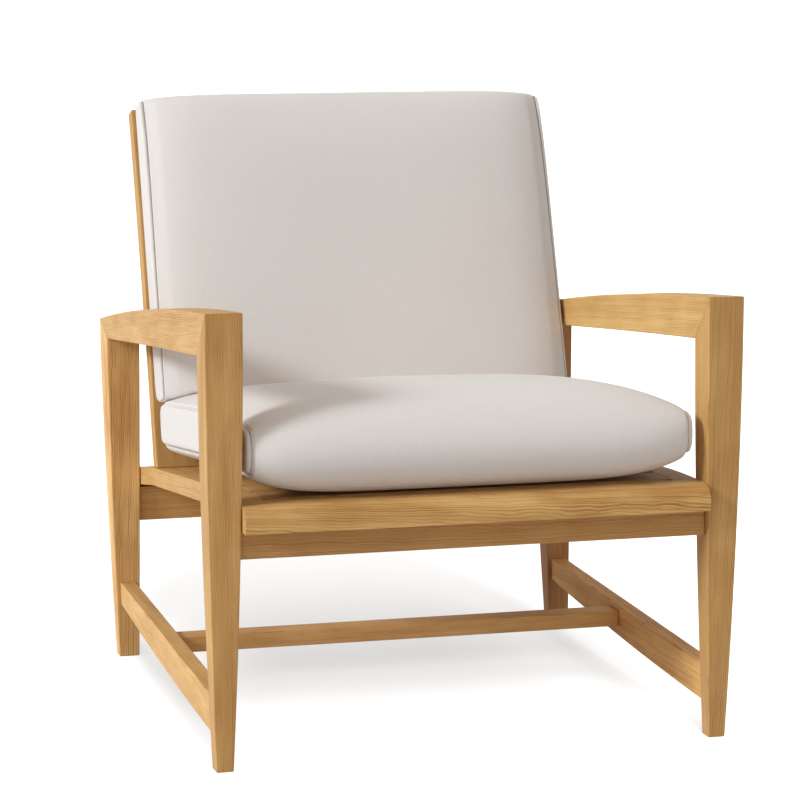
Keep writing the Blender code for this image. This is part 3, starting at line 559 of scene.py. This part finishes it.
def cover_grid(node, axes, roll):
    """Rows of points from the left seam to the right one, and the middle line inside each side panel."""
    form = welded(node)
    tree = BVHTree.FromBMesh(form)
    rims = [side_rim(form, sign) for sign in (-1, 1)]
    form.free()
    starts, ways = rounds(rims[0], axes)
    seams = [met_rim(rim, axes, starts, ways) for rim in rims]
    sides = [rim[:, 0].mean() for rim in rims]
    seams[0][:, 0] += SEAM_INSET
    seams[1][:, 0] -= SEAM_INSET
    width = roll["width"]
    places, step = np.linspace(sides[0] + width, sides[1] - width, BODY_ROWS, retstep=True)
    body = np.array([met_body(tree, x, axes, starts, ways) for x in places])
    body = eased(eased(body, BODY_SMOOTHING, 0), ROUND_SMOOTHING, 1)
    slopes = [(body[0] - body[1]) / step, (body[-1] - body[-2]) / step]
    left = [rolled(seams[0], body[0], slopes[0], roll, share) for share in ROLL_ROWS]
    right = [rolled(seams[1], body[-1], slopes[1], roll, share) for share in reversed(ROLL_ROWS)]
    grid = np.concatenate([left, body, right])
    middles = [np.hstack([np.full((len(starts), 1), x), (starts @ axes)[:, 1:]]) for x in sides]
    return grid, middles


def rolled(seam, edge, slope, roll, share):
    """A row of the cover's roll, from its seam to the edge of its body, where it runs on straight."""
    full = (1.0 - (1.0 - share) ** roll["power"]) ** (1.0 / roll["power"])
    straight = edge + slope * roll["width"] * (1.0 - share)
    row = seam + (straight - seam) * full
    row[:, 0] = seam[:, 0] + (edge[:, 0] - seam[:, 0]) * share
    return row


def cover_mesh(node, grid, middles, panel_bulge):
    """A closed mesh of a cover's grid and its two side panels."""
    rows, around = grid.shape[:2]
    points = [grid.reshape(-1, 3)]
    loops = [np.arange(rows * around).reshape(rows, around)]
    total = rows * around
    for end, middle, sign in ((0, middles[0], -1.0), (rows - 1, middles[1], 1.0)):
        ring = [loops[0][end]]
        for depth in PANEL_ROWS:
            inside = grid[end] + (middle - grid[end]) * depth
            rise = 1.0 - (1.0 - depth) ** PANEL_POWER
            inside[:, 0] = grid[end][:, 0] * (1.0 - rise) + (middle[:, 0] + sign * panel_bulge) * rise
            points.append(inside)
            ring.append(np.arange(total, total + around))
            total += around
        loops.append(np.array(ring))
    faces = []
    for block in loops:
        ahead = np.roll(block, -1, axis=1)
        quads = np.stack([block[:-1], ahead[:-1], ahead[1:], block[1:]], axis=2)
        faces += quads.reshape(-1, 4).tolist()
    mesh = bpy.data.meshes.new(node + "_pad")
    mesh.from_pydata(np.vstack(points).tolist(), [], faces)
    form = bmesh.new()
    form.from_mesh(mesh)
    bmesh.ops.remove_doubles(form, verts=form.verts, dist=WELD_DISTANCE)
    bmesh.ops.recalc_face_normals(form, faces=form.faces)
    form.to_mesh(mesh)
    form.free()
    mesh.polygons.foreach_set("use_smooth", [True] * len(mesh.polygons))
    return mesh


def swell(piece, shape, support):
    """Blows the cover up from a slightly smaller shape, with its seams held and its rests kept."""
    rows, around = shape[:2]
    main = rows * around
    base = mesh_points(piece.data)
    out = mesh_normals(piece.data)
    depth = np.zeros(len(base))
    from_seam = np.minimum(np.arange(rows), np.arange(rows)[::-1])
    depth[:main] = np.repeat(SWELL_START * (1.0 - np.exp(-from_seam / SEAM_EASE_ROWS)), around)
    start = base - out * depth[:, None]
    set_points(piece.data, start)
    pins = piece.vertex_groups.new(name="pins")
    ends = list(range(around)) + list(range(main - around, main))
    pins.add(ends, 1.0, "REPLACE")
    cloth = piece.modifiers.new("cloth", "CLOTH")
    for key, value in CLOTH_SETTINGS.items():
        setattr(cloth.settings, key, value)
    cloth.settings.effector_weights.gravity = 0.0
    cloth.settings.vertex_group_mass = "pins"
    cloth.point_cache.frame_start = 1
    cloth.point_cache.frame_end = CLOTH_FRAMES
    for step in range(1, CLOTH_FRAMES + 1):
        scene.frame_set(step)
    shown = piece.evaluated_get(bpy.context.evaluated_depsgraph_get())
    blown = mesh_points(shown.data)
    piece.modifiers.clear()
    piece.vertex_groups.clear()
    scene.frame_set(1)
    rise = np.einsum("ij,ij->i", blown - start, out)[:main]
    free = out[:main] @ support < SUPPORT_FACING
    most = depth[:main] + np.where(free, SWELL_EXTRA, 0.0)
    rise = np.clip(rise, depth[:main], most).reshape(rows, around, 1)
    rise = eased(eased(rise, SWELL_SMOOTHING, 0), SWELL_SMOOTHING, 1).reshape(-1, 1)
    blown = start.copy()
    blown[:main] += out[:main] * rise
    set_points(piece.data, blown)


def make_pad(node, axes, roll, panel_bulge, settle):
    """A filled cushion in the space of a CAD cushion, sewn along the rims of its side panels."""
    grid, middles = cover_grid(node, axes, roll)
    if settle:
        grid = settle(grid.reshape(-1, 3)).reshape(grid.shape)
        middles = [settle(middle) for middle in middles]
    piece = bpy.data.objects.new(node + "_pad", cover_mesh(node, grid, middles, panel_bulge))
    scene.collection.objects.link(piece)
    swell(piece, grid.shape, -axes[1])
    points = mesh_points(piece.data)
    out = mesh_normals(piece.data)
    rows, around = grid.shape[:2]
    seams = []
    # sewn marks the grooved seam rows, where the canvas material paints shade.
    sewn = np.zeros(len(points))
    for end in (slice(0, around), slice((rows - 1) * around, rows * around)):
        sewn[end] = 1.0
        points[end] -= out[end] * GROOVE_DEPTH
        seams.append(points[end] + out[end] * WELT_LIFT)
    set_points(piece.data, points)
    piece.data.attributes.new("sewn", "FLOAT", "POINT").data.foreach_set("value", sewn)
    detail = piece.modifiers.new("detail", "SUBSURF")
    detail.levels = 1
    detail.render_levels = 1
    return piece, seams


def make_welt(name, seam):
    """A slim corded edge sewn into a seam."""
    data = bpy.data.curves.new(name, "CURVE")
    data.dimensions = "3D"
    data.bevel_depth = WELT_RADIUS
    data.bevel_resolution = 2
    spline = data.splines.new("POLY")
    spline.points.add(len(seam) - 1)
    spline.points.foreach_set("co", np.hstack([seam, np.ones((len(seam), 1))]).ravel())
    spline.use_cyclic_u = True
    piece = bpy.data.objects.new(name, data)
    scene.collection.objects.link(piece)
    return piece


def section_axes(body, sign):
    """Rows along and through a cushion's section, from the way its joint slides."""
    slide = next(joint for joint in frame["joints"] if joint["child"] == body)
    along = Vector(slide["axis"]).normalized() * sign
    through = Vector((1.0, 0.0, 0.0)).cross(along)
    return np.array((along, through))


def foot_settler(axes):
    """Lowers the foot of the back cushion until it rests on the seat cushion all over."""
    seat = BVHTree.FromBMesh(welded("seat_cushion"))
    form = welded("back_cushion")
    back = BVHTree.FromBMesh(form)
    up, through = axes
    places = np.array([vert.co[:] for vert in form.verts])
    form.free()
    heights = places @ up
    foot = heights.min()
    low = places[heights < foot + FOOT_SETTLE_HEIGHT]
    half = low[:, 0].max() - FOOT_MARGIN
    widths = np.linspace(-half, half, FOOT_SAMPLES[0])
    inner = low @ through
    depths = np.linspace(inner.min() + FOOT_MARGIN, inner.max() - FOOT_MARGIN, FOOT_SAMPLES[1])
    gaps = np.zeros(FOOT_SAMPLES)
    for column, x in enumerate(widths):
        for row, depth in enumerate(depths):
            start = Vector(up * (foot + FOOT_SETTLE_HEIGHT) + through * depth) + Vector((x, 0.0, 0.0))
            own = back.ray_cast(start, Vector(-up))[3]
            other = seat.ray_cast(start, Vector(-up))[3]
            gap = other - own - FOOT_SETTLE_CLEARANCE if own and other else FOOT_DROP_LIMIT
            gaps[column, row] = min(max(gap, 0.0), FOOT_DROP_LIMIT)

    def settle(points):
        share = np.clip(1.0 - (points @ up - foot) / FOOT_SETTLE_HEIGHT, 0.0, 1.0)
        share = share * share * (3.0 - 2.0 * share)
        across = np.interp(points[:, 0], widths, np.arange(len(widths)))
        inward = np.interp(points @ through, depths, np.arange(len(depths)))
        left = np.minimum(across.astype(int), len(widths) - 2)
        rear = np.minimum(inward.astype(int), len(depths) - 2)
        along, deep = across - left, inward - rear
        near = gaps[left, rear] * (1.0 - along) + gaps[left + 1, rear] * along
        far = gaps[left, rear + 1] * (1.0 - along) + gaps[left + 1, rear + 1] * along
        return points - np.outer((near * (1.0 - deep) + far * deep) * share, up)

    return settle


def make_cushions():
    canvas = make_canvas()
    seat_axes = section_axes("seat_cushion", -1.0)
    back_axes = section_axes("back_cushion", 1.0)
    plans = (("seat_cushion", seat_axes, SEAT_ROLL, SEAT_PANEL_BULGE, None),
             ("back_cushion", back_axes, BACK_ROLL, BACK_PANEL_BULGE, foot_settler(back_axes)))
    for body, axes, roll, panel_bulge, settle in plans:
        pad, seams = make_pad(body, axes, roll, panel_bulge, settle)
        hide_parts(body)
        pieces = [pad]
        if body == "seat_cushion":
            for side, seam in zip(("left", "right"), seams):
                pieces.append(make_welt(f"{body}_{side}_welt", seam))
        for piece in pieces:
            piece.data.materials.append(canvas)
            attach(piece, body)


def make_camera():
    data = bpy.data.cameras.new("camera")
    data.sensor_width = SENSOR_WIDTH
    data.lens = FOCAL_PIXELS / IMAGE_SIZE * SENSOR_WIDTH
    data.shift_x = (IMAGE_SIZE / 2 - CENTRE_PIXEL[0]) / IMAGE_SIZE
    data.shift_y = (CENTRE_PIXEL[1] - IMAGE_SIZE / 2) / IMAGE_SIZE
    camera = bpy.data.objects.new("camera", data)
    camera.location = CAMERA_PLACE
    camera.rotation_euler = (math.pi / 2 + CAMERA_PITCH, 0.0, CAMERA_YAW)
    scene.collection.objects.link(camera)
    scene.camera = camera


def seen_directly(graph):
    """1 for what the camera, a mirror or clear glass sees, 0 for light that falls on the object."""
    path = graph.add("ShaderNodeLightPath").outputs
    seen = graph.math("MAXIMUM", path["Is Camera Ray"], path["Is Glossy Ray"])
    return graph.math("MAXIMUM", seen, path["Is Transmission Ray"])


def make_sun(name, strength, tint, travel, spread, lit):
    """A broad light from far away that falls on some of the objects only."""
    lamp = bpy.data.lights.new(name, "SUN")
    lamp.energy = strength * math.pi
    lamp.color = tint
    lamp.angle = spread
    sun = bpy.data.objects.new(name, lamp)
    sun.rotation_euler = Vector(travel).to_track_quat("-Z", "Y").to_euler()
    scene.collection.objects.link(sun)
    receivers = bpy.data.collections.new("lit_by_" + name)
    for piece in lit:
        receivers.objects.link(piece)
    sun.light_linking.receiver_collection = receivers


def make_world():
    world = bpy.data.worlds.new("studio")
    world.use_nodes = True
    world.node_tree.nodes.clear()
    scene.world = world
    graph = Graph(world.node_tree)
    direction = graph.add("ShaderNodeTexCoord").outputs["Generated"]
    tilt = graph.add("ShaderNodeVectorMath", {0: direction, 1: AMBIENT_TILT}, operation="DOT_PRODUCT")
    strength = graph.math("MULTIPLY", graph.math("ADD", tilt.outputs["Value"], 1.0), AMBIENT_STRENGTH)
    light = graph.add("ShaderNodeBackground", {"Strength": strength, "Color": colour(AMBIENT_COLOUR)})
    white = graph.add("ShaderNodeBackground", {"Strength": 1.0, "Color": colour(WHITE)})
    both = graph.add("ShaderNodeMixShader", {0: seen_directly(graph)})
    graph.put(both.inputs[1], light.outputs[0])
    graph.put(both.inputs[2], white.outputs[0])
    output = graph.add("ShaderNodeOutputWorld")
    graph.put(output.inputs["Surface"], both.outputs[0])


def make_floor():
    mesh = bpy.data.meshes.new("floor")
    half = FLOOR_SIZE / 2
    corners = ((-half, -half), (half, -half), (half, half), (-half, half))
    mesh.from_pydata([(x, y, -FLOOR_DROP) for x, y in corners], [], [(0, 1, 2, 3)])
    floor = bpy.data.objects.new("floor", mesh)
    scene.collection.objects.link(floor)
    material, graph = new_material("floor_white")
    seen = seen_directly(graph)
    level = graph.math("MULTIPLY_ADD", seen, FLOOR_SEEN_ALBEDO - FLOOR_ALBEDO, FLOOR_ALBEDO)
    tint = graph.add("ShaderNodeCombineXYZ", {"X": level, "Y": level, "Z": level}).outputs["Vector"]
    diffuse = graph.add("ShaderNodeBsdfDiffuse", {"Color": tint})
    glow = graph.add("ShaderNodeEmission", {"Strength": graph.math("MULTIPLY", seen, FLOOR_GLOW)})
    total = graph.add("ShaderNodeAddShader", {0: diffuse.outputs[0], 1: glow.outputs[0]})
    output = graph.add("ShaderNodeOutputMaterial")
    graph.put(output.inputs["Surface"], total.outputs[0])
    mesh.materials.append(material)
    return floor


def make_lights(floor):
    pieces = [piece for piece in scene.objects if piece.type in ("MESH", "CURVE") and piece is not floor]
    make_sun("key", KEY_STRENGTH, KEY_COLOUR, KEY_TRAVEL, KEY_SPREAD, pieces)
    for name, light in FLOOR_LIGHTS.items():
        strength = light["strength"] / abs(Vector(light["travel"]).normalized().z)
        make_sun(name, strength, WHITE, light["travel"], math.radians(light["spread"]), [floor])


scene.view_settings.view_transform = "Standard"
make_camera()
dress_boards()
make_cushions()
make_world()
make_lights(make_floor())
